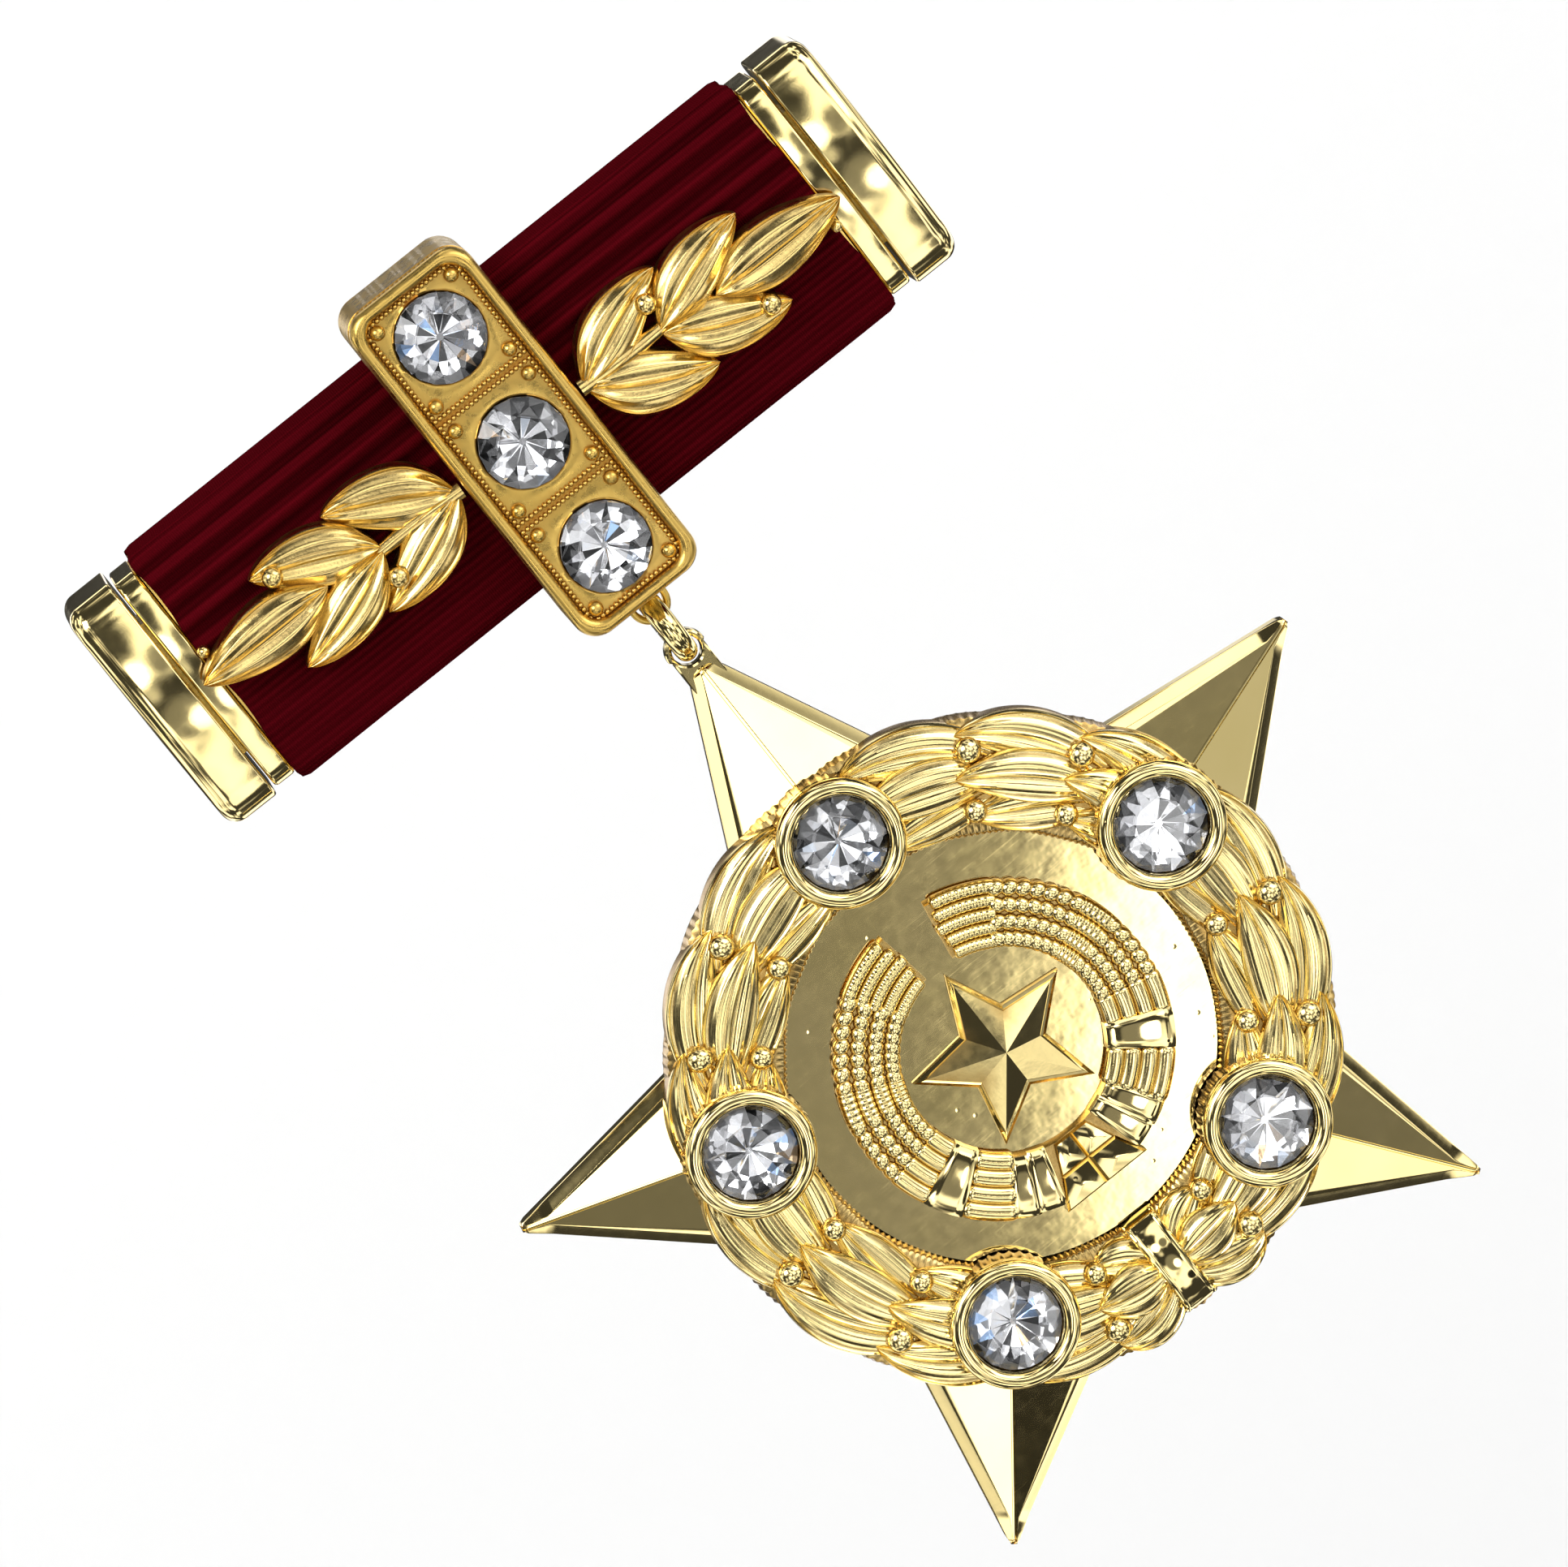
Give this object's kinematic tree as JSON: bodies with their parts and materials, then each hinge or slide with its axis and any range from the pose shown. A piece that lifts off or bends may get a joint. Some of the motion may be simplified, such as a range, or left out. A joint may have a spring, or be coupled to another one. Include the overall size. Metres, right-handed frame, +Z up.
{
  "type": "military service medal",
  "caption": "Five-pointed star medal with stones and wreath, hung by a jump ring from a ribbon-covered brooch bar with a pin and turning catch.",
  "frame": {"origin": "middle of the brooch pin's free length, on the pin's axis, behind the ribbon bar", "axes": "+X along the brooch pin from its hinge to its catch, +Y to the back towards the wearer, +Z up; the medal's face looks along -Y"},
  "size_m": [0.0416, 0.0131, 0.0601],
  "materials": {
    "polished_gold": "polished gold plate on brass",
    "satin_gold": "satin gold plate on brass",
    "ribbon_red": "dark red ribbed grosgrain ribbon",
    "crystal": "clear faceted stone with a foiled back",
    "pin_steel": "plated spring wire"
  },
  "bodies": {
    "bar": {"back_plate": "satin_gold", "bar_core": "satin_gold", "ribbon": "ribbon_red", "end_collar_left": "polished_gold", "end_collar_right": "polished_gold", "end_cap_left": "polished_gold", "end_cap_right": "polished_gold", "clasp_box": "satin_gold", "clasp_stone_top": "crystal", "clasp_stone_middle": "crystal", "clasp_stone_bottom": "crystal", "clasp_beads": "satin_gold", "spray_left": "polished_gold", "spray_right": "polished_gold", "spray_berries": "polished_gold", "fixing_posts": "satin_gold", "hinge_bracket": "satin_gold", "hinge_rivet": "pin_steel", "catch_housing": "satin_gold"},
    "pin": {"brooch_pin": "pin_steel"},
    "catch": {"catch_rotor": "satin_gold"},
    "ring": {"jump_ring": "polished_gold"},
    "star": {"star_plate": "polished_gold", "laurel_wreath": "polished_gold", "wreath_tie": "polished_gold", "wreath_berries": "polished_gold", "field_disc": "polished_gold", "grain_wreath": "polished_gold", "grain_bands": "polished_gold", "centre_device": "polished_gold", "bezel_cup_1": "polished_gold", "bezel_cup_2": "polished_gold", "bezel_cup_3": "polished_gold", "bezel_cup_4": "polished_gold", "bezel_cup_5": "polished_gold", "star_stone_1": "crystal", "star_stone_2": "crystal", "star_stone_3": "crystal", "star_stone_4": "crystal", "star_stone_5": "crystal"}
  },
  "joints": [
    {"name": "pin_swing", "type": "hinge", "parent": "bar", "child": "pin", "pos_m": [-0.0124, 0, 0], "axis": [0, 0, 1], "range_deg": [0, 95]},
    {"name": "catch_turn", "type": "hinge", "parent": "bar", "child": "catch", "pos_m": [0.0137, 0, 0], "axis": [1, 0, 0], "range_deg": [0, 150]},
    {"name": "ring_swing", "type": "hinge", "parent": "bar", "child": "ring", "pos_m": [0, -0.0066, -0.0093], "axis": [0, 1, 0], "range_deg": [-35, 35]},
    {"name": "star_pitch", "type": "hinge", "parent": "ring", "child": "star", "pos_m": [0, -0.0066, -0.0106], "axis": [1, 0, 0], "range_deg": [-40, 30]}
  ]
}
